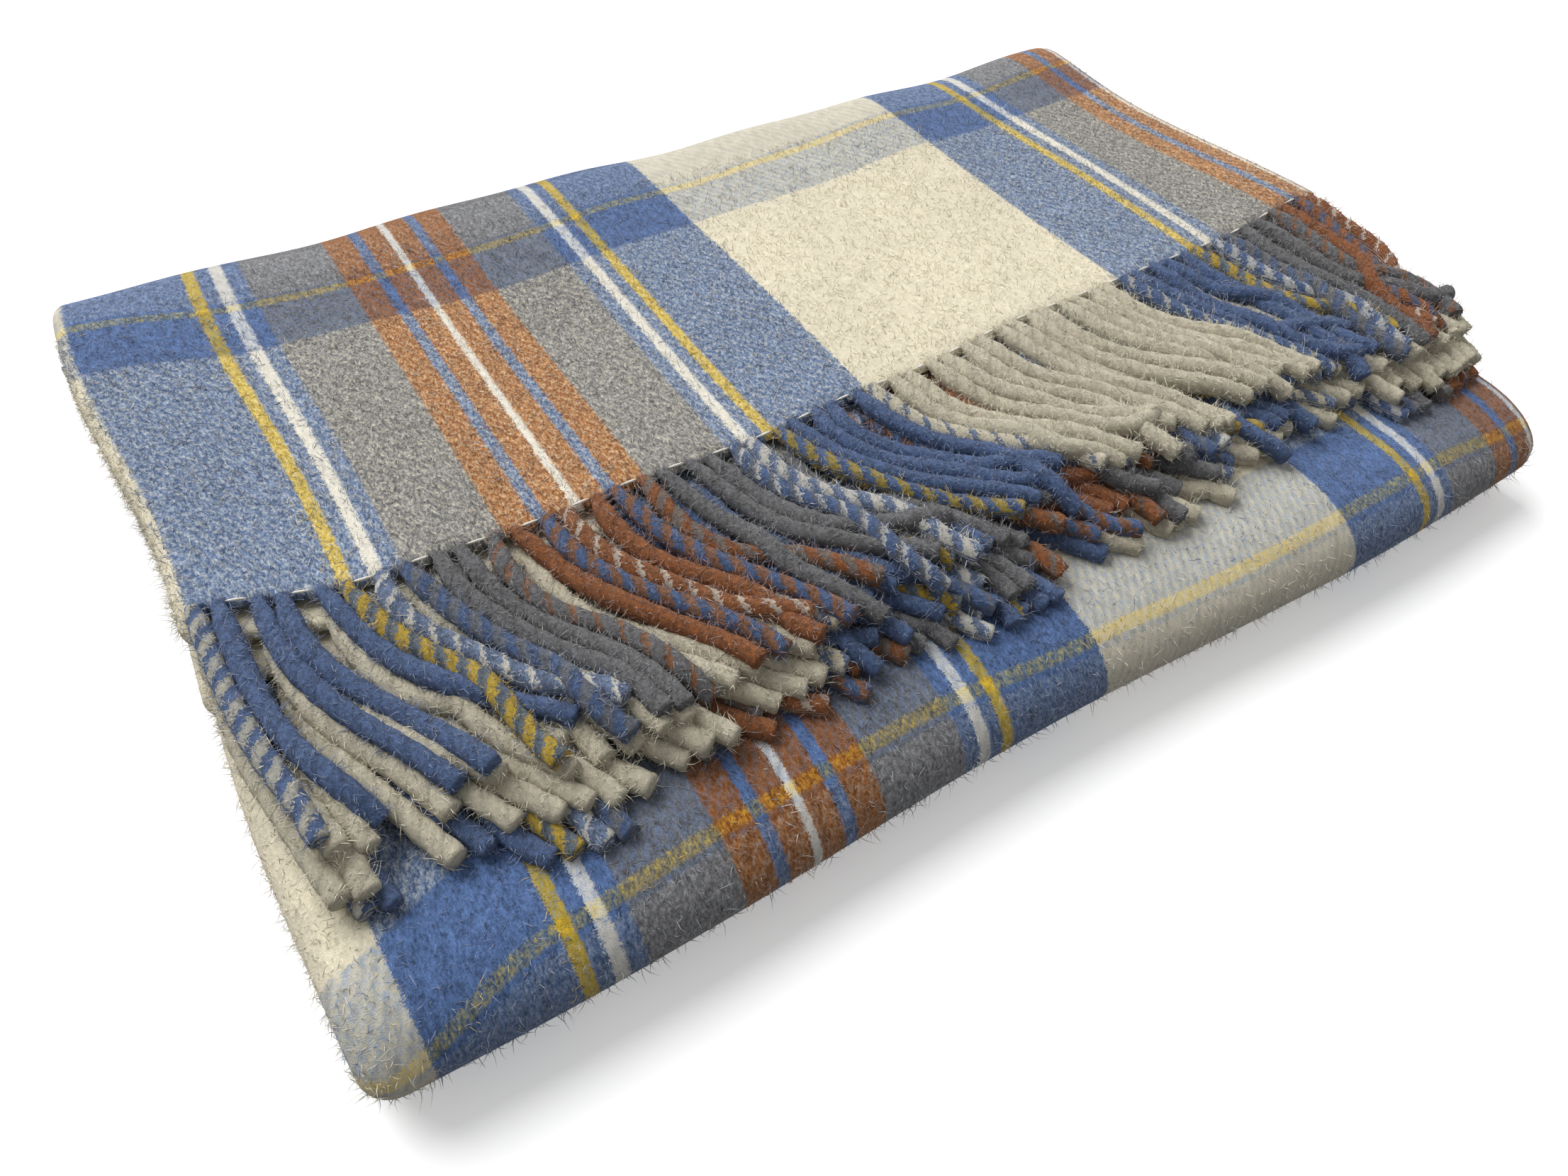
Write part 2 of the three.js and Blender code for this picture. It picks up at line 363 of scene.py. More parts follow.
def tassel_material(group):
    """Yarns twisted into plies. Each yarn takes the colour of its own place in the tartan."""
    material, n = new_material("wool_twist")
    strand = n.add("ShaderNodeUVMap", uv_map="strand").outputs["UV"]
    axes = n.add("ShaderNodeSeparateXYZ", {"Vector": strand})
    around = n.times(axes.outputs["X"], float(PLIES))
    turn = n.math("SUBTRACT", around, n.math("DIVIDE", axes.outputs["Y"], TWIST_PERIOD))
    body = n.add("ShaderNodeTexCoord").outputs["Object"]
    fibre = n.noise(body, 1500.0, 4.0, 0.75)
    tuft = n.noise(body, 520.0, 3.0, 0.7)
    shaken = n.total(turn, n.span(tuft, 0.3, 0.7, -0.20, 0.20))
    yarn_number = n.math("FLOOR", n.times(n.math("FRACT", shaken), float(YARNS)))
    place = n.math("SUBTRACT", n.math("DIVIDE", n.total(yarn_number, 0.5), float(YARNS)), 0.5)
    middle = n.add("ShaderNodeAttribute", attribute_name="sett_place").outputs["Fac"]
    sett = n.add("ShaderNodeGroup", node_tree=group)
    n.feed(sett.inputs[0], n.total(middle, n.times(place, TASSEL_PITCH)))
    core = n.add("ShaderNodeGroup", node_tree=group)
    n.feed(core.inputs[0], middle)
    yarn = n.blend_yarns(n.span(fibre, 0.35, 0.65, 0.05, 0.35), sett.outputs[0], core.outputs[0])
    groove = n.math("ABSOLUTE", n.math("SINE", n.times(turn, math.pi)))
    dark = n.math("SUBTRACT", 1.08, n.add("ShaderNodeRGBToBW", {"Color": yarn}).outputs[0])
    grain = n.total(n.span(fibre, 0.3, 0.7, -0.40, 0.40), n.span(tuft, 0.3, 0.7, -0.55, 0.55))
    heather = n.total(n.times(grain, dark), 1.0)
    # Painted shade: the colour is darkened in the grooves between the plies and painted a little lighter on
    # their crests
    shade = n.times(heather, n.span(groove, 0.0, 0.7, 0.93, 1.06))
    colour = n.mix(1.0, yarn, n.grey(shade), "MULTIPLY")
    ply = n.math("ABSOLUTE", n.math("SINE", n.times(turn, 3 * math.pi)))
    height = n.total(
        n.times(fibre, 0.9), n.times(n.span(groove, 0.0, 0.8), 0.26), n.times(tuft, 0.5), n.times(ply, 0.22)
    )
    roughness = n.span(tuft, 0.2, 0.8, 0.84, 0.98)
    wool_shader(n, colour, roughness, n.bump(height, 1.0, 0.0019), 0.2)
    return material


def fibre_material():
    """Loose fibres, each the colour of the yarn it stands on."""
    material, n = new_material("wool_fibre")
    tint = n.add("ShaderNodeAttribute", attribute_name="tint").outputs["Color"]
    body = n.add("ShaderNodeTexCoord").outputs["Object"]
    grain = n.noise(body, 900.0, 2.0, 0.6)
    shade = n.span(grain, 0.3, 0.7, 0.85, 1.15)
    colour = n.mix(1.0, tint, n.grey(shade), "MULTIPLY")
    wool_shader(n, colour, n.span(grain, 0.2, 0.8, 0.7, 0.95), n.bump(grain, 0.2, 0.0002), 0.2)
    return material


WARP_YARNS = sett_group("warp_sett", SETT)
CLOTH = cloth_material(WARP_YARNS, sett_group("weft_sett", WEFT_SETT))
TWIST = tassel_material(WARP_YARNS)
FIBRE = fibre_material()


# ---- meshes ----


def make_mesh(name, points, quads, material, uv_name=None, uv=None, triangles=None):
    """A mesh object from arrays of points and faces. uv has one pair per point."""
    mesh = bpy.data.meshes.new(name)
    faces = np.asarray(quads, np.int32)
    loops = faces.ravel()
    sizes = np.full(len(faces), 4, np.int32)
    if triangles is not None and len(triangles):
        loops = np.concatenate([loops, np.asarray(triangles, np.int32).ravel()])
        sizes = np.concatenate([sizes, np.full(len(triangles), 3, np.int32)])
    mesh.vertices.add(len(points))
    mesh.vertices.foreach_set("co", np.asarray(points, np.float32).ravel())
    mesh.loops.add(len(loops))
    mesh.loops.foreach_set("vertex_index", loops)
    mesh.polygons.add(len(sizes))
    starts = np.concatenate([[0], np.cumsum(sizes)[:-1]]).astype(np.int32)
    mesh.polygons.foreach_set("loop_start", starts)
    mesh.update(calc_edges=True)
    mesh.polygons.foreach_set("use_smooth", np.ones(len(sizes), bool))
    if uv is not None:
        layer = mesh.uv_layers.new(name=uv_name)
        layer.data.foreach_set("uv", np.asarray(uv, np.float32)[loops].ravel())
    mesh.materials.append(material)
    mesh.validate()
    obj = bpy.data.objects.new(name, mesh)
    bpy.context.scene.collection.objects.link(obj)
    return obj


def run(y_from, y_to, z_from, z_to, count):
    """A straight run of a layer in the YZ plane."""
    t = np.linspace(0, 1, count)
    return np.stack([y_from + (y_to - y_from) * t, z_from + (z_to - z_from) * t], 1)


def bend(y_centre, z_from, z_to, reach, count, fullness=2.0):
    """A half ellipse in the YZ plane from one height to another, reaching out from y_centre.

    A fullness above 2 squares its shoulders.
    """
    a = np.linspace(0, math.pi, count)
    middle, half = (z_from + z_to) / 2, (z_from - z_to) / 2
    out = np.sin(a) ** (2 / fullness)
    up = np.sign(np.cos(a)) * np.abs(np.cos(a)) ** (2 / fullness)
    line = np.stack([y_centre + reach * out, middle + half * up], 1)
    fine = arc_length(line)
    even = np.linspace(0, fine[-1], count)
    return np.stack([np.interp(even, fine, line[:, k]) for k in range(2)], 1)


def arc_length(points):
    """Distance along a line at each of its points."""
    steps = np.linalg.norm(np.diff(points, axis=0), axis=1)
    return np.concatenate([[0], np.cumsum(steps)])


# Points across one layer of a pair, and round the left fold between its two layers
ACROSS = 126
ROUND_FOLD = 13


def pair_sheet(name, face, lining, cloth, free, shift_x, at):
    """Two layers of cloth joined by the left fold, as one closed mesh.

    face and lining are the two layers' lines in YZ, with the same number of points. cloth is the thickness
    at each, free is 1 at a fringed edge and 0 where the edge's bow has died out, shift_x is where the cream
    band's middle is, and at is the tartan's distance along the cloth.
    """
    count = len(face)
    middle = (face + lining) / 2
    apart = face - lining
    half = np.linalg.norm(apart, axis=1) / 2
    out = apart / (2 * half[:, None])
    flat = np.linspace(0, 1, ACROSS)
    round_end = np.linspace(0, math.pi, ROUND_FOLD)[1:-1]
    rows = []
    for i in range(count):
        h = half[i]
        fold_x = LEFT + h + cloth[i] / 2
        x_face = RIGHT + (fold_x - RIGHT) * flat
        x_lining = fold_x + (RIGHT - SELVEDGE_SETBACK - fold_x) * flat
        x = np.concatenate([x_face, fold_x - h * np.sin(round_end), x_lining])
        n = np.concatenate([np.full(ACROSS, h), h * np.cos(round_end), np.full(ACROSS, -h)])
        nx = np.concatenate([np.zeros(ACROSS), -np.sin(round_end), np.zeros(ACROSS)])
        nn = np.concatenate([np.ones(ACROSS), np.cos(round_end), -np.ones(ACROSS)])
        u = np.concatenate([x_face, fold_x - h * round_end, fold_x - h * math.pi - (x_lining - fold_x)])
        rows.append((x, n, nx, nn, u))
    x, n, nx, nn, u = (np.stack([r[k] for r in rows]) for k in range(5))
    bow = edge_bow(x)
    sides = []
    for side in (1, -1):
        thick = side * cloth[:, None] / 2
        rim = 1 - SELVEDGE_THINNING * smooth((x - (RIGHT - SELVEDGE_SETBACK - 0.003)) / 0.007)
        level = n + nn * thick * rim
        p = np.empty((*x.shape, 3))
        p[..., 0] = x + nx * thick
        p[..., 1] = middle[:, None, 0] + out[:, None, 0] * level + bow * free[:, None]
        p[..., 2] = middle[:, None, 1] + out[:, None, 1] * level
        sides.append(settle(p).reshape(-1, 3))
    points = np.concatenate(sides)
    ease = smooth(x / 0.20) * ((shift_x - FLAP_CREAM_X) / (BASE_CREAM_X - FLAP_CREAM_X))[:, None]
    across = u - shift_x[:, None] + BASE_EASE * ease
    along = at[:, None] - bow * (1 - free[:, None]) + BASE_WEFT_RISE * ease
    uv_one = np.stack([across, along], -1).reshape(-1, 2)
    wide = x.shape[1]
    index = np.arange(count * wide).reshape(count, wide)
    under = index + count * wide

    def strip(a, b):
        """The quads that close the gap between an edge's two sides."""
        return np.stack([a[:-1], a[1:], b[1:], b[:-1]], 1)

    quads = np.concatenate([
        np.stack([index[:-1, :-1], index[:-1, 1:], index[1:, 1:], index[1:, :-1]], -1).reshape(-1, 4),
        np.stack([under[:-1, :-1], under[1:, :-1], under[1:, 1:], under[:-1, 1:]], -1).reshape(-1, 4),
        strip(index[0], under[0])[:, ::-1],
        strip(index[-1], under[-1]),
        strip(index[:, 0], under[:, 0]),
        strip(index[:, -1], under[:, -1])[:, ::-1],
    ])
    if signed_volume(points, quads) < 0:
        quads = quads[:, ::-1]
    uv = np.concatenate([uv_one, uv_one])
    return make_mesh(name, points, quads, CLOTH, "cloth", uv)


def signed_volume(points, quads):
    """Volume inside a closed mesh, negative when its faces are turned inwards."""
    a, b, c, d = (points[quads[:, k]] for k in range(4))
    first = np.einsum("ij,ij->i", a, np.cross(b, c))
    second = np.einsum("ij,ij->i", a, np.cross(c, d))
    return (first.sum() + second.sum()) / 6


def layer_middle(node):
    low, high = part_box(node)
    return (low.z + high.z) / 2


# Heights of the middle of each layer, from the table up
BASE_BOTTOM_FACE = BASE_CLOTH / 2
BASE_BOTTOM_LINING = layer_middle("base_bottom_lining")
BASE_TOP_LINING = layer_middle("base_top_lining")
BASE_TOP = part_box("base_top_face")[1].z
BASE_TOP_FACE = BASE_TOP - BASE_CLOTH / 2
FLAP_UNDER_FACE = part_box("flap_under_face")[1].z - FLAP_CLOTH / 2
FLAP_UNDER_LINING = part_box("flap_under_lining")[1].z - FLAP_CLOTH / 2
FLAP_TOP_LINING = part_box("flap_top_lining")[1].z - FLAP_CLOTH / 2
FLAP_TOP_FACE = TOP - FLAP_CLOTH / 2
ROLL_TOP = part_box("front_fold_face")[1].z
SLOPE_START = RUN_FRONT + (RUN_BACK - RUN_FRONT) / 3
SLOPE = (BASE_TOP - ROLL_TOP) / (SLOPE_START - RUN_FRONT)

# Where the outer wrap ends on the table and the base wrap begins
UNDER_ROLL = -0.150

# Fullness of the outer back fold, which has squared shoulders
SHOULDER = 3.4

# Points along the flap, round the outer back fold, along the table, and round the inner back fold
ALONG_FLAP = 46
ROUND_BACK = 27
ALONG_TABLE = 40
ROUND_INNER = 17

# Points along the table under the front roll, round the roll, and along the top of the base
UNDER_FRONT = 6
ROUND_ROLL = 29
ALONG_BASE = 60


def sloped(line):
    """A layer's line lowered where the base thins towards its front fold."""
    line = line.copy()
    line[:, 1] -= SLOPE * np.clip(SLOPE_START - line[:, 0], 0, SLOPE_START - RUN_FRONT)
    return line


def reach_of(node, cloth):
    """How far back a fold's cloth reaches, at the middle of its thickness."""
    low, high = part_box(node)
    return high.y - RUN_BACK - cloth / 2


def outer_wrap():
    """The turned-over flap's top pair, round the outer back fold and along the table."""
    layers = []
    edge_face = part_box("flap_top_face")[0].y
    edge_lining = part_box("flap_top_lining")[0].y
    for edge, fold, flap_z, base_z in (
        (edge_face, "back_fold_outer_face", FLAP_TOP_FACE, BASE_BOTTOM_FACE),
        (edge_lining, "back_fold_outer_lining", FLAP_TOP_LINING, BASE_BOTTOM_LINING),
    ):
        reach = reach_of(fold, BASE_CLOTH)
        layers.append(np.concatenate([
            sloped(run(edge, RUN_BACK, flap_z, flap_z, ALONG_FLAP)),
            bend(RUN_BACK, flap_z, base_z, reach, ROUND_BACK, SHOULDER)[1:-1],
            run(RUN_BACK, UNDER_ROLL, base_z, base_z, ALONG_TABLE),
        ]))
    face, lining = layers
    cloth = np.concatenate([
        np.full(ALONG_FLAP, FLAP_CLOTH),
        FLAP_CLOTH + (BASE_CLOTH - FLAP_CLOTH) * smooth(np.linspace(0, 1, ROUND_BACK - 2)),
        np.full(ALONG_TABLE, BASE_CLOTH),
    ])
    free = np.zeros(len(face))
    free[:ALONG_FLAP] = np.linspace(1, 0, ALONG_FLAP)
    at = arc_length(face) - FLAP_CREAM_FROM_FRINGE
    shift = np.full(len(face), FLAP_CREAM_X)
    return pair_sheet("outer_wrap", face, lining, cloth, free, shift, at)


def base_wrap():
    """The front roll and the base's top pair."""
    layers = []
    for bottom, top, edge in (
        (BASE_BOTTOM_FACE, BASE_TOP_FACE, FRONT),
        (BASE_BOTTOM_LINING, BASE_TOP_LINING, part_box("front_fold_lining")[0].y),
    ):
        reach = edge - RUN_FRONT + BASE_CLOTH / 2
        roll = bend(RUN_FRONT, bottom, top - (BASE_TOP - ROLL_TOP), reach, ROUND_ROLL)
        layers.append(np.concatenate([
            run(UNDER_ROLL, RUN_FRONT, bottom, bottom, UNDER_FRONT),
            roll[1:-1],
            sloped(run(RUN_FRONT, RUN_BACK, top, top, ALONG_BASE)),
        ]))
    face, lining = layers
    cloth = np.full(len(face), BASE_CLOTH)
    length = arc_length(face)
    at = BASE_CREAM_BEHIND_ROLL - (length - length[-ALONG_BASE])
    none = np.zeros(len(face))
    shift = np.full(len(face), BASE_CREAM_X)
    return pair_sheet("base_wrap", face, lining, cloth, none, shift, at), at[-1]


def inner_fold(at_start):
    """The inner back fold, from the base's top pair up to the flap's lower pair."""
    layers = []
    for fold, base_z, flap_z in (
        ("back_fold_inner_face", BASE_TOP_FACE, FLAP_UNDER_FACE),
        ("back_fold_inner_lining", BASE_TOP_LINING, FLAP_UNDER_LINING),
    ):
        reach = reach_of(fold, BASE_CLOTH)
        layers.append(bend(RUN_BACK, base_z, flap_z, reach, ROUND_INNER))
    face, lining = layers
    along = smooth(np.linspace(0, 1, ROUND_INNER))
    cloth = BASE_CLOTH + (FLAP_CLOTH - BASE_CLOTH) * along
    at = at_start - arc_length(face)
    shift = BASE_CREAM_X + (FLAP_CREAM_X - BASE_CREAM_X) * along
    return pair_sheet("inner_fold", face, lining, cloth, np.zeros(ROUND_INNER), shift, at), at[-1]


def flap_lining(at_start):
    """The flap's lower pair, from the inner back fold forward to its own fringed ends."""
    count = 50
    edge_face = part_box("flap_under_face")[0].y
    edge_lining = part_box("flap_under_lining")[0].y
    face = sloped(run(RUN_BACK, edge_face, FLAP_UNDER_FACE, FLAP_UNDER_FACE, count))
    lining = sloped(run(RUN_BACK, edge_lining, FLAP_UNDER_LINING, FLAP_UNDER_LINING, count))
    at = at_start - arc_length(face)
    shift = np.full(count, FLAP_CREAM_X)
    cloth = np.full(count, FLAP_CLOTH)
    free = np.linspace(0, 1, count)
    return pair_sheet("flap_lining", face, lining, cloth, free, shift, at)


# ---- fringe ----

CHAIN = 15
LINK = TASSEL_LENGTH / (CHAIN - 1)

# Each row lies this much lower than the one above it, and the pile thins towards its tips
ROW_DROP = 0.0066
LID_SLOPE = 0.13

# How far tassels lean to the right at their tips, in degrees, along the row
SWEEP_AT = (0.0, 0.08, 0.30, 0.55, 0.80, 0.90, 1.0)
SWEEP_END = (14, 44, 52, 50, 46, 16, 2)

# How much the lean varies from bunch to bunch and within one, and how much tassels curl, in degrees
BUNCH_SPREAD = 10
OWN_SPREAD = 3
CURL_SPREAD = 4

# How far the tips of a bunch are drawn together
BUNCH_PULL = 0.45

# Length of each row's tassels beside the CAD model's: the lower rows are drawn back under the top row
ROW_REACH = (1.06, 0.98, 0.95, 0.93)

# How far wool gives where tassels cross, and how close to straight a tassel springs back
GIVE = 0.84
STRAIGHTNESS = 0.995

# Settling: what is left of each step's speed, the drop of each step, and how thin a tassel is at its root
DRAG = 0.8
STEP_DROP = 0.00030
ROOT_THIN = 0.62


def row_start(row):
    """Where each tassel of a row leaves its edge, and how high."""
    low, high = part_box(ROWS[row][1])
    place = np.arange(TASSEL_COUNT)
    x = LEFT + (place + 0.5) * TASSEL_PITCH
    x = x + np.where(place % 2 == 0, PAIR_PINCH, -PAIR_PINCH)
    z = high.z - FLAP_CLOTH / 2 - SLOPE * max(0.0, SLOPE_START - low.y)
    return x, low.y + edge_bow(x), np.full(TASSEL_COUNT, z)


def bed(x, y, row):
    """Height of the cloth that a row's tassels can lie on."""
    drop = SLOPE * np.clip(SLOPE_START - y, 0, SLOPE_START - RUN_FRONT)
    height = BASE_TOP - drop
    past = np.clip((RUN_FRONT - y) / (RUN_FRONT - FRONT), 0, 0.999)
    height = np.where(y < RUN_FRONT, ROLL_TOP / 2 * (1 + np.sqrt(1 - past**2)), height)
    for lower in range(len(ROWS) - 1, row, -1):
        low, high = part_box(ROWS[lower][1])
        height = np.where(y > low.y + edge_bow(x), np.maximum(height, high.z - drop), height)
    return height


def clumps():
    """Which bunch of two to four neighbours each tassel belongs to."""
    sizes = random.integers(2, 5, TASSEL_COUNT)
    return np.repeat(np.arange(TASSEL_COUNT), sizes)[:TASSEL_COUNT]


def lay_out():
    """Each row's tassels as bent chains, before they settle: straight at first, then leaning right."""
    chains = []
    for row in range(len(ROWS)):
        x, y, z = row_start(row)
        along = (x - LEFT) / WIDTH
        bunch = clumps()
        shared = random.normal(0, BUNCH_SPREAD, TASSEL_COUNT)[bunch]
        middle = np.array([x[bunch == b].mean() for b in bunch])
        own = random.normal(0, OWN_SPREAD, TASSEL_COUNT)
        sweep = np.interp(along, SWEEP_AT, SWEEP_END) + shared + own
        # The tassels at the left fold hang almost straight
        sweep = np.radians(np.where(along < 0.035, 9.0, sweep))
        inward = (middle - x) * BUNCH_PULL
        curl = np.radians(random.normal(0, CURL_SPREAD, TASSEL_COUNT))
        turn = random.uniform(0, 2 * math.pi, TASSEL_COUNT)
        link = LINK * ROW_REACH[row]
        p = np.zeros((TASSEL_COUNT, CHAIN, 3))
        p[:, 0] = np.stack([x, y, z], 1)
        for k in range(1, CHAIN):
            s = k / (CHAIN - 1)
            heading = sweep * smooth((s + 0.05) / 0.75) + curl * np.sin(turn + 5.0 * s) * smooth(s * 2)
            p[:, k, 0] = p[:, k - 1, 0] + link * np.sin(heading) + inward / (CHAIN - 1)
            p[:, k, 1] = p[:, k - 1, 1] - link * np.cos(heading)
            rank = len(ROWS) - 1 - row
            resting = bed(p[:, k, 0], p[:, k, 1], len(ROWS) - 1) + TASSEL_RADIUS + rank * ROW_DROP
            p[:, k, 2] = z + (resting - z) * smooth(s * 1.4)
        chains.append(p)
    return chains


def near_pairs(p, owner, within):
    """Index pairs of chain points of different tassels that are close together."""
    gap = np.linalg.norm(p[:, None] - p[None], axis=2)
    i, j = np.nonzero(gap < within)
    keep = (i < j) & (owner[i] != owner[j])
    return i[keep], j[keep]


def held_up(points, below):
    """How high the tassels below hold each point, or below the table where nothing does."""
    reach = 2 * TASSEL_RADIUS * GIVE
    flat = np.linalg.norm(points[:, None, :2] - below[None, :, :2], axis=2)
    over = below[None, :, 2] + np.sqrt(np.maximum(reach**2 - flat**2, 0)) * GIVE
    return np.where(flat < reach, over, -1.0).max(1)


def straighten(p, apart, amount, link):
    """Pulls points that are a few links apart out to nearly that distance."""
    span = p[:, apart:] - p[:, :-apart]
    size = np.linalg.norm(span, axis=-1, keepdims=True)
    fix = span * (1 - apart * link * STRAIGHTNESS / size) * amount
    p[:, :-apart] += fix
    p[:, apart:] -= fix


def settle_row(p, row, below, steps):
    """Lets one row of tassels drop onto the cloth, onto the rows below and against each other."""
    shape = p.shape
    link = LINK * ROW_REACH[row]
    owner = np.repeat(np.arange(TASSEL_COUNT), CHAIN)
    radius = TASSEL_RADIUS * np.where(np.arange(CHAIN) == 0, ROOT_THIN, 1.0)
    radius = np.tile(radius, TASSEL_COUNT)
    anchor = p[:, 0].copy()
    before = p.copy()
    support = np.full(shape[:2], -1.0)
    for step in range(steps):
        if step % 8 == 0:
            i, j = near_pairs(p.reshape(-1, 3), owner, 3 * TASSEL_RADIUS)
        if step % 2 == 0 and len(below):
            support = held_up(p.reshape(-1, 3), below).reshape(shape[:2])
        speed = (p - before) * DRAG
        before = p.copy()
        p = p + speed
        p[..., 2] -= STEP_DROP
        for _ in range(5):
            straighten(p, 1, 0.5, link)
            straighten(p, 2, 0.25, link)
            straighten(p, 4, 0.10, link)
            # Pushed off its neighbours
            q = p.reshape(-1, 3)
            gap = q[i] - q[j]
            size = np.linalg.norm(gap, axis=1) + 1e-9
            push = np.maximum(0, 0.92 * (radius[i] + radius[j]) - size)
            move = gap * (push / size * 0.4)[:, None]
            for axis in range(3):
                q[:, axis] += np.bincount(i, move[:, axis], len(q)) - np.bincount(j, move[:, axis], len(q))
            p = q.reshape(shape)
            # Held up by the cloth and the rows below, with friction, and under the lid of the CAD box
            floor = np.maximum(bed(p[..., 0], p[..., 1], row) + TASSEL_RADIUS * 0.96, support)
            touching = p[..., 2] < floor
            p[..., 2] += np.where(touching, 0.7 * (floor - p[..., 2]), 0)
            p[..., :2] += (before[..., :2] - p[..., :2]) * np.where(touching[..., None], 0.5, 0.0)
            p[..., 0] = np.clip(p[..., 0], LEFT + TASSEL_RADIUS, RIGHT + 0.002)
            lid = TOP - 0.001 - row * ROW_DROP - LID_SLOPE * np.clip(-0.085 - p[..., 1], 0, 1)
            p[..., 2] = np.minimum(p[..., 2], lid)
            p[:, 0] = anchor
    for _ in range(2):
        # Kinks smoothed out
        p[:, 1:-1] = 0.5 * p[:, 1:-1] + 0.25 * (p[:, :-2] + p[:, 2:])
    return p


def settle_fringe(layout, steps):
    """Settles the rows from the lowest up, so that each lies on the ones below it."""
    settled = [None] * len(ROWS)
    below = np.zeros((0, 3))
    for row in reversed(range(len(ROWS))):
        settled[row] = settle_row(layout[row], row, below, steps)
        below = np.concatenate([below, settled[row].reshape(-1, 3)])
    return settled


def along_spline(points, count):
    """Points of a Catmull-Rom curve through a chain, evenly spread."""
    ends = np.concatenate([2 * points[:1] - points[1:2], points, 2 * points[-1:] - points[-2:-1]])
    t = np.linspace(0, len(points) - 1, count)
    i = np.minimum(t.astype(int), len(points) - 2)
    f = (t - i)[:, None]
    a, b, c, d = ends[i], ends[i + 1], ends[i + 2], ends[i + 3]
    return 0.5 * (2 * b + (c - a) * f + (2 * a - 5 * b + 4 * c - d) * f**2 + (3 * b - a - 3 * c + d) * f**3)


def unit(vectors):
    return vectors / np.linalg.norm(vectors, axis=1, keepdims=True)


def frames(line):
    """Tangent and two crossways directions along a line, without twist."""
    tangent = unit(np.gradient(line, axis=0))
    side = np.zeros_like(line)
    first = np.cross(tangent[0], (0, 0, 1))
    side[0] = first / np.linalg.norm(first)
    for k in range(1, len(line)):
        v = side[k - 1] - tangent[k] * (side[k - 1] @ tangent[k])
        side[k] = v / np.linalg.norm(v)
    return tangent, side, np.cross(tangent, side)


def tube_faces(rings, sides):
    """Wall quads and end triangles of a closed tube, whose last two points are the middles of its ends."""
    grid = np.arange(rings * sides).reshape(rings, sides)
    nxt = np.roll(grid, -1, axis=1)
    wall = np.stack([grid[:-1], nxt[:-1], nxt[1:], grid[1:]], -1).reshape(-1, 4)
    root, tip = np.full(sides, rings * sides), np.full(sides, rings * sides + 1)
    caps = [np.stack([grid[0], root, nxt[0]], 1), np.stack([grid[-1], nxt[-1], tip], 1)]
    return wall, np.concatenate(caps)


def paint(obj, colours):
    """Stores a colour at each point of a mesh."""
    tint = np.concatenate([colours, np.ones((len(colours), 1))], 1)
    obj.data.attributes.new("tint", "FLOAT_COLOR", "POINT").data.foreach_set("color", tint.ravel())


RINGS = 92
SIDES = 14
LOBE_DEPTH = 0.045


def tassel(chain, radius, start_turn):
    """One twisted tassel as a tube: its rings of points, strand coordinates, middle line and tangents."""
    line = settle(along_spline(chain, RINGS))
    tangent, side, over = frames(line)
    length = arc_length(line)
    s = length / length[-1]
    fat = radius * (0.66 + 0.34 * smooth(s * 9)) * (1 + 0.05 * np.sin(9 * s + start_turn))
    fat[-1] *= 0.90
    angle = np.linspace(0, 2 * math.pi, SIDES + 1)
    turned = PLIES * (angle[None] + start_turn) - 2 * math.pi * length[:, None] / TWIST_PERIOD
    lobes = 1 - LOBE_DEPTH * np.cos(turned)
    wide = (fat[:, None] * lobes)[..., None]
    round_it = np.cos(angle)[:, None] * side[:, None] + np.sin(angle)[:, None] * over[:, None]
    ring = line[:, None] + wide * round_it
    u = np.broadcast_to(angle / (2 * math.pi) + start_turn / (2 * math.pi), (RINGS, SIDES + 1))
    v = np.broadcast_to(length[:, None], (RINGS, SIDES + 1))
    return ring, np.stack([u, v], -1), line, tangent


def build_row(row, chains):
    """A row of tassels as one mesh, with each tassel's place in the tartan stored on it."""
    name, _, mirrored = ROWS[row]
    x = row_start(row)[0]
    points, quads, tris, uvs, places = [], [], [], [], []
    wall, caps = tube_faces(RINGS, SIDES)
    size = RINGS * SIDES + 2
    for k in range(TASSEL_COUNT):
        cream = sett_colour(strand_at(x[k], mirrored))[2] > 0.5
        radius = TASSEL_RADIUS * (1.05 if cream else 0.98) * random.uniform(0.95, 1.05)
        turn = random.uniform(0, 2 * math.pi)
        ring, uv, line, tangent = tassel(chains[k], radius, turn)
        base = k * size
        tip_point = line[-1:] + tangent[-1:] * 0.0004
        points.append(np.concatenate([ring[:, :-1].reshape(-1, 3), line[:1], tip_point]))
        ends = [[uv[0, 0, 0], uv[0, 0, 1]], [uv[-1, 0, 0], uv[-1, 0, 1] + 0.004]]
        uvs.append(np.concatenate([uv[:, :-1].reshape(-1, 2), ends]))
        quads.append(wall + base)
        tris.append(caps + base)
        places.append(np.full(size, strand_at(x[k], mirrored)))
    quads = np.concatenate(quads)
    points = np.concatenate(points)
    tris = np.concatenate(tris)
    obj = make_mesh(name + "_tassels", points, quads, TWIST, "strand", np.concatenate(uvs), tris)
    attribute = obj.data.attributes.new("sett_place", "FLOAT", "POINT")
    attribute.data.foreach_set("value", np.concatenate(places).astype(np.float32))
    return obj


def strand_at(x, mirrored):
    """A tassel's distance from the middle of the cream band. The inner half of the cloth is mirrored."""
    return (2 * LEFT - x if mirrored else x) - FLAP_CREAM_X


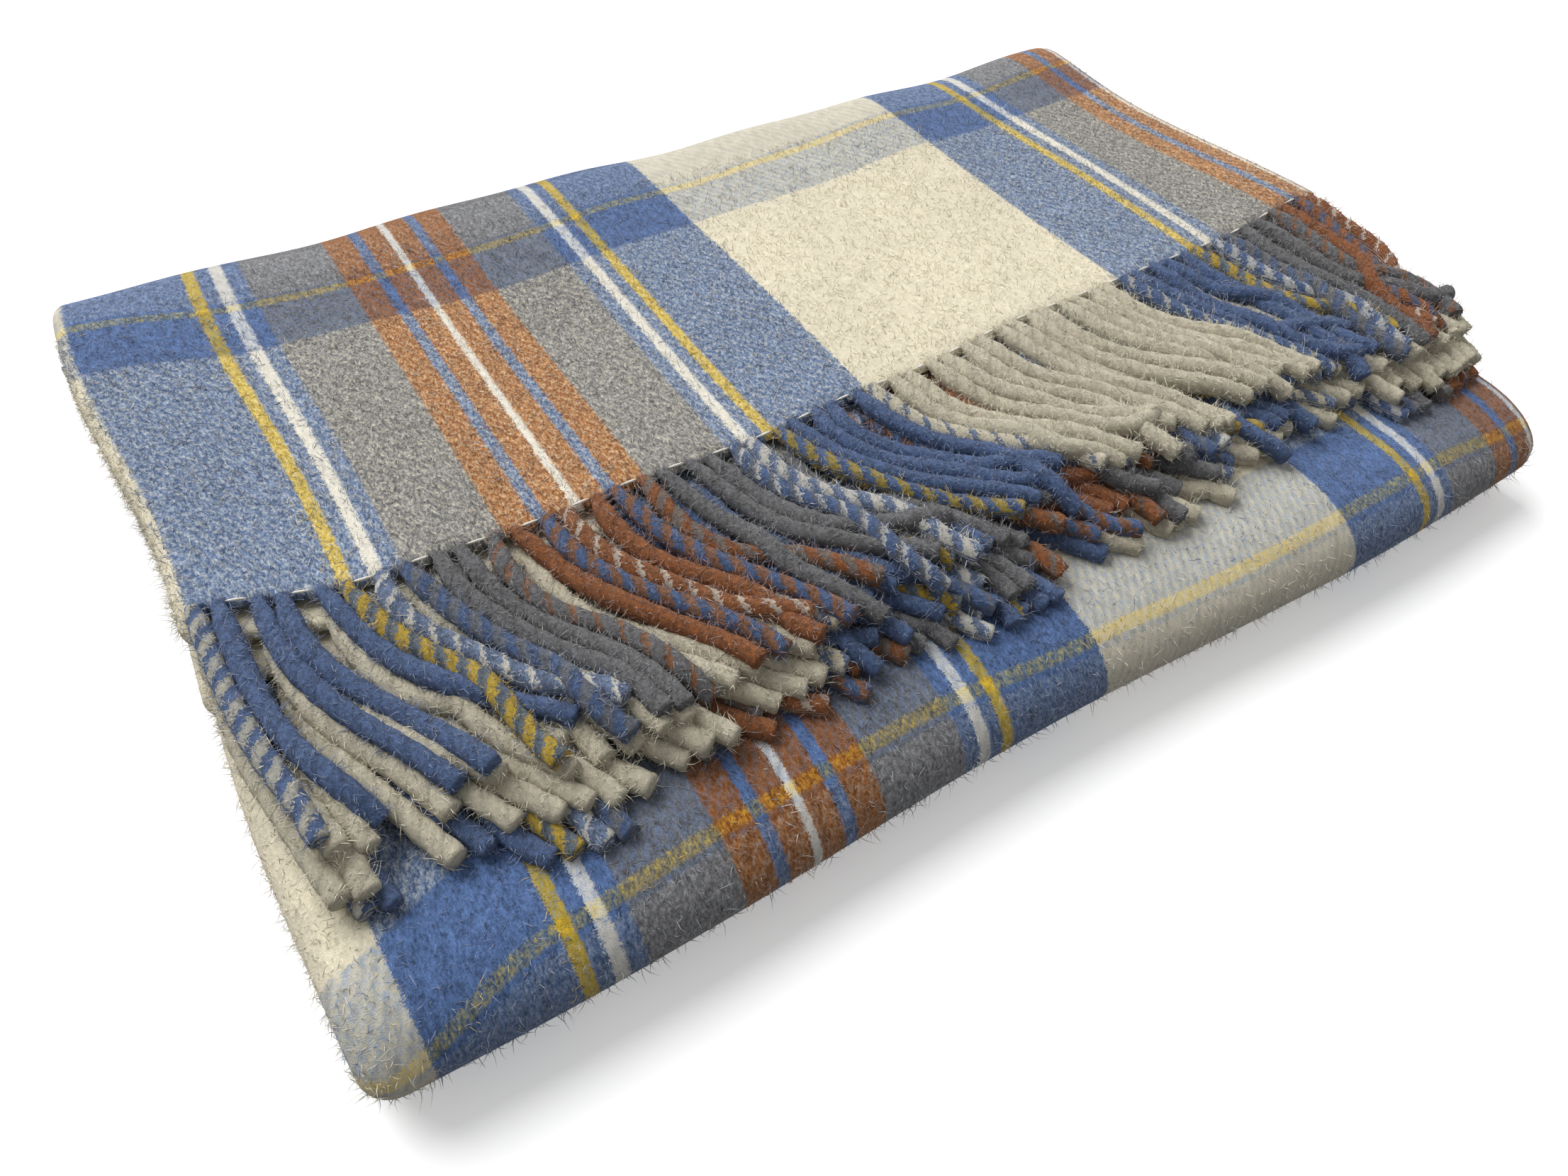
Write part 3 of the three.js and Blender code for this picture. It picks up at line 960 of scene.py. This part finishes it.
def weft_ends():
    """Short pale ends of the last weft threads, lying between the pairs of tassels along the top edge."""
    x, y, z = row_start(0)
    points, quads, tris = [], [], []
    count, sides = 7, 6
    radius = 0.0006
    wall, caps = tube_faces(count, sides)
    size = count * sides + 2
    middles = (x[1:-1:2] + x[2::2]) / 2
    for k, middle in enumerate(middles):
        t = np.linspace(-1, 1, count)
        reach = random.uniform(0.0035, 0.0048)
        line = np.zeros((count, 3))
        line[:, 0] = middle + reach * t
        line[:, 1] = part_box("flap_top_face")[0].y + edge_bow(line[:, 0]) - 0.0008 + 0.0012 * t**2
        line[:, 2] = z[0] + FLAP_CLOTH / 2 - 0.0006 - 0.0012 * t**2
        line = settle(line)
        tangent, side, over = frames(line)
        fat = radius * np.sqrt(np.clip(1.06 - t**2, 0.05, 1))
        a = np.linspace(0, 2 * math.pi, sides, endpoint=False)
        ring = np.cos(a)[:, None] * side[:, None] + np.sin(a)[:, None] * over[:, None]
        ring = line[:, None] + fat[:, None, None] * ring
        base = k * size
        points.append(np.concatenate([ring.reshape(-1, 3), line[:1], line[-1:]]))
        quads.append(wall + base)
        tris.append(caps + base)
    points = np.concatenate(points)
    quads, tris = np.concatenate(quads), np.concatenate(tris)
    obj = make_mesh("weft_ends", points, quads, FIBRE, None, None, tris)
    paint(obj, np.tile(linear("white"), (len(points), 1)))
    return obj


# ---- loose fibres ----

# How far hairs may stand out past the CAD box, sideways and upwards
STAND_PROUD = 0.012

# Colour of a hair from the yarn it stands on: paler, because it is thin and catches the light
HAIR_SHARE = 0.80
HAIR_PALE = 0.19

HAIR_POINTS = 7


def fibres(name, roots, normals, colours, length, radius, lean):
    """Fine bent hairs standing on the given points, as one mesh. Each tapers from a triangle to a point."""
    count = len(roots)
    grow = unit(normals + lean * random.normal(0, 1, (count, 3)))
    curl = unit(np.cross(grow, random.normal(0, 1, (count, 3))))
    over = np.cross(grow, curl)
    size = length * random.uniform(0.25, 1.0, count)[:, None] ** 1.3
    bow = random.uniform(0.2, 1.0, count)[:, None]
    points = np.zeros((count, HAIR_POINTS, 3))
    for k, t in enumerate((0.0, 0.5)):
        centre = roots + grow * size * (t - 0.08) + curl * size * bow * t**2
        for m in range(3):
            angle = 2 * math.pi * m / 3
            outward = math.cos(angle) * curl + math.sin(angle) * over
            points[:, 3 * k + m] = centre + radius * (1 - 0.2 * k) * outward
    points[:, 6] = roots + (0.92 * grow + bow * curl) * size
    first = HAIR_POINTS * np.arange(count)[:, None, None]
    quads = (first + np.array([[0, 1, 4, 3], [1, 2, 5, 4], [2, 0, 3, 5]])).reshape(-1, 4)
    tris = (first + np.array([[2, 1, 0], [3, 4, 6], [4, 5, 6], [5, 3, 6]])).reshape(-1, 3)
    flat = points.reshape(-1, 3)
    flat[:, 0] = np.clip(flat[:, 0], LEFT - STAND_PROUD, RIGHT + STAND_PROUD)
    flat[:, 2] = np.clip(flat[:, 2], 0.0002 + radius, TOP + STAND_PROUD)
    obj = make_mesh(name, flat, quads, FIBRE, None, None, tris)
    paint(obj, np.repeat(colours, HAIR_POINTS, 0))
    return obj


def read(items, key, width=1, kind=float):
    """One property of all the given items, as an array with a row for each."""
    values = np.zeros(len(items) * width, kind)
    items.foreach_get(key, values)
    return values.reshape(-1, width)


def mesh_arrays(obj):
    """Points, four corners of each face, areas, normals and first loops of a mesh, as arrays.

    A triangle's last corner is given twice.
    """
    mesh = obj.data
    corners = [list(p.vertices) for p in mesh.polygons]
    faces = np.array([c if len(c) == 4 else [*c, c[2]] for c in corners])
    area = read(mesh.polygons, "area")[:, 0]
    starts = read(mesh.polygons, "loop_start", 1, np.int32)[:, 0]
    return read(mesh.vertices, "co", 3), faces, area, read(mesh.polygons, "normal", 3), starts


def scatter(obj, count, weight):
    """Random points on a mesh and the face each lies on. weight(centres, normals) says where they fall."""
    co, faces, area, normal, starts = mesh_arrays(obj)
    centres = co[faces].mean(1)
    chance = area * weight(centres, normal)
    picked = random.choice(len(faces), count, p=chance / chance.sum())
    s, t = random.uniform(0, 1, (2, count, 1))
    a, b, c, d = (co[faces[picked, k]] for k in range(4))
    spot = (a * (1 - s) + b * s) * (1 - t) + (d * (1 - s) + c * s) * t
    return spot, normal[picked], picked, starts


def cloth_fibres(name, obj, count, weight, length):
    """Hairs of a cloth sheet, coloured by the tartan where they stand."""
    spot, normal, picked, starts = scatter(obj, count, weight)
    uv = read(obj.data.uv_layers["cloth"].data, "uv", 2)[starts[picked]]
    from_warp = random.uniform(0, 1, count) < 0.68
    colours = np.where(from_warp[:, None], sett_colour(uv[:, 0]), sett_colour(uv[:, 1], WEFT_SETT))
    return fibres(name, spot, normal, colours * HAIR_SHARE + HAIR_PALE, length, 0.00017, 1.6)


def tassel_fibres(name, obj, count, length):
    """Hairs of a row of tassels, coloured by their yarns."""
    spot, normal, picked, _ = scatter(obj, count, lambda c, n: np.ones(len(c)))
    values = read(obj.data.attributes["sett_place"].data, "value", 1, np.float32)[:, 0]
    vertex = np.array([obj.data.polygons[int(f)].vertices[0] for f in picked])
    yarn = values[vertex] + random.uniform(-0.5, 0.5, count) * TASSEL_PITCH
    colours = sett_colour(yarn) * HAIR_SHARE + HAIR_PALE
    return fibres(name, spot, normal, colours, length, 0.00018, 1.0)


# ---- the throw ----

wrap = outer_wrap()
base, at_base_end = base_wrap()
inner, at_fold_end = inner_fold(at_base_end)
lining = flap_lining(at_fold_end)

chains = settle_fringe(lay_out(), 110)
rows = [build_row(row, chains[row]) for row in range(len(ROWS))]
ends = weft_ends()


def seen_outside(centres, normals):
    """Most hairs on the faces that show: the top, the front roll and the left fold."""
    up = np.clip(normals[:, 2], 0, 1)
    ahead = np.clip(-normals[:, 1], 0, 1)
    aside = np.clip(-normals[:, 0], 0, 1)
    return 0.02 + 0.5 * up + 0.9 * ahead + 1.6 * aside


def part_of_flap(centres):
    """Whether each face is above the hinge's ramp and forward of the back fold."""
    return (centres[:, 2] > HINGE_RAMP_OUTER[1]) & (centres[:, 1] < RUN_BACK)


def on_flap(centres, normals):
    """Hairs on the outside of the flap, forward of its back fold."""
    return seen_outside(centres, normals) * part_of_flap(centres)


def on_flap_edges(centres, normals):
    """Extra hairs on the flap's left fold, along its fringed edge and on top."""
    aside = np.clip(-normals[:, 0], 0, 1)
    ahead = np.clip(-normals[:, 1], 0, 1)
    up = np.clip(normals[:, 2], 0, 1)
    return (0.25 * up + 3.0 * aside + 2.0 * ahead) * part_of_flap(centres)


def low_on_left_fold(centres, normals):
    """Hairs on the left fold of the bottom layers, which stays on the table."""
    low = (centres[:, 2] < HINGE_RAMP_OUTER[0]) & (centres[:, 1] < RUN_BACK)
    return np.clip(-normals[:, 0], 0, 1) * low


# Hairs in each piece of them
HAIRS = 18500

wrap_fuzz = [
    cloth_fibres("flap_fibres_1", wrap, HAIRS, on_flap, 0.0085),
    cloth_fibres("flap_fibres_2", wrap, HAIRS, on_flap, 0.0070),
    cloth_fibres("flap_edge_fibres", wrap, HAIRS, on_flap_edges, 0.0065),
]
base_fuzz = [
    cloth_fibres("base_fibres_1", base, HAIRS, seen_outside, 0.0080),
    cloth_fibres("base_fibres_2", base, HAIRS, seen_outside, 0.0065),
]
left_fuzz = cloth_fibres("left_fold_fibres", wrap, HAIRS // 4, low_on_left_fold, 0.0065)
row_fuzz = []
for (name, _, _), tassels in zip(ROWS, rows):
    row_fuzz.append(tassel_fibres(name + "_fibres", tassels, HAIRS, 0.0070))
row_fuzz.append(tassel_fibres("fringe_top_extra_fibres", rows[0], HAIRS, 0.0055))
row_fuzz.append(tassel_fibres("fringe_second_extra_fibres", rows[1], HAIRS, 0.0055))

# ---- what each piece rides on and stands for ----


def over_hinge(obj):
    """Bakes a piece's placement into its mesh."""
    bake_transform(obj)


over_hinge(wrap)
over_hinge(inner)
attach(base, "base")
for fuzz in [*base_fuzz, left_fuzz]:
    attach(fuzz, "base")
for fuzz in wrap_fuzz:
    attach(fuzz, "flap")
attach(lining, "flap")
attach(ends, "flap")
for piece in rows + row_fuzz:
    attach(piece, "flap")

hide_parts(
    "flap_top_face", "flap_top_lining", "flap_left_fold_upper",
    "back_fold_outer_face", "back_fold_outer_lining",
    "base_bottom_face", "base_bottom_lining", "base_left_fold_lower",
)
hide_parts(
    "base_top_face", "base_top_lining", "base_left_fold_upper", "front_fold_face", "front_fold_lining",
)
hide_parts("back_fold_inner_face", "back_fold_inner_lining")
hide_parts("flap_under_face", "flap_under_lining", "flap_left_fold_lower")
for (name, _, _), tassels in zip(ROWS, rows):
    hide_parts(name)

# ---- studio ----

# Soft light from above, from below and extra from the right, a key light, and the floor's own light
SKY_LIGHT = 0.31
UNDER_LIGHT = 0.05
RIGHT_LIGHT = 0.35
SUN_LIGHT = 3.40
FLOOR_GLOW = 0.32


def studio():
    """A soft bright sky, a broad key light, a white floor, and a white backdrop only the camera sees."""
    world = bpy.data.worlds.new("studio")
    bpy.context.scene.world = world
    world.use_nodes = True
    tree = world.node_tree
    n = Nodes(tree)
    background = tree.nodes["Background"]
    background.inputs["Color"].default_value = (1.0, 1.0, 1.0, 1)
    sky = n.add("ShaderNodeSeparateXYZ", {"Vector": n.add("ShaderNodeTexCoord").outputs["Generated"]})
    from_right = n.times(n.math("MAXIMUM", sky.outputs["X"], 0.0), RIGHT_LIGHT)
    above = n.span(sky.outputs["Z"], -0.02, 0.02, UNDER_LIGHT, SKY_LIGHT)
    n.feed(background.inputs["Strength"], n.total(above, from_right))
    bpy.ops.mesh.primitive_plane_add(size=14)
    floor = bpy.context.object
    floor.name = "floor"
    material, n = new_material("studio_floor")
    pale = n.add("ShaderNodeBsdfDiffuse", {"Color": (0.86, 0.86, 0.86, 1)})
    glow = n.add("ShaderNodeEmission", {"Strength": FLOOR_GLOW})
    show_surface(n, n.add("ShaderNodeAddShader", {0: pale.outputs[0], 1: glow.outputs[0]}))
    floor.data.materials.append(material)
    floor.visible_diffuse = False
    bpy.ops.mesh.primitive_uv_sphere_add(radius=6.5, segments=48, ring_count=24)
    backdrop = bpy.context.object
    backdrop.name = "backdrop"
    material, n = new_material("studio_backdrop")
    show_surface(n, n.add("ShaderNodeEmission", {"Strength": 1.0}))
    backdrop.data.materials.append(material)
    backdrop.visible_diffuse = False
    backdrop.visible_glossy = False
    backdrop.visible_transmission = False
    backdrop.visible_shadow = False
    light = bpy.data.lights.new("key", "SUN")
    light.energy = SUN_LIGHT
    light.angle = math.radians(48)
    sun = bpy.data.objects.new("key", light)
    sun.rotation_euler = Vector((0.30, -0.85, -1)).to_track_quat("-Z", "Y").to_euler()
    bpy.context.scene.collection.objects.link(sun)


def camera():
    """A phone camera's wide view from above the front left corner."""
    data = bpy.data.cameras.new("camera")
    data.sensor_width = 36.0
    data.lens = 25.33
    data.clip_start = 0.01
    obj = bpy.data.objects.new("camera", data)
    right = Vector((0.84996, -0.52638, 0.02205))
    up = Vector((0.37643, 0.63605, 0.67361))
    back = -Vector((0.36860, 0.56424, -0.73876))
    turned = Matrix((right, up, back)).transposed().to_4x4()
    obj.matrix_world = Matrix.Translation((-0.281, -0.399, 0.422)) @ turned
    bpy.context.scene.collection.objects.link(obj)
    bpy.context.scene.camera = obj


studio()
camera()
scene = bpy.context.scene
scene.view_settings.view_transform = "Standard"
scene.view_settings.look = "None"
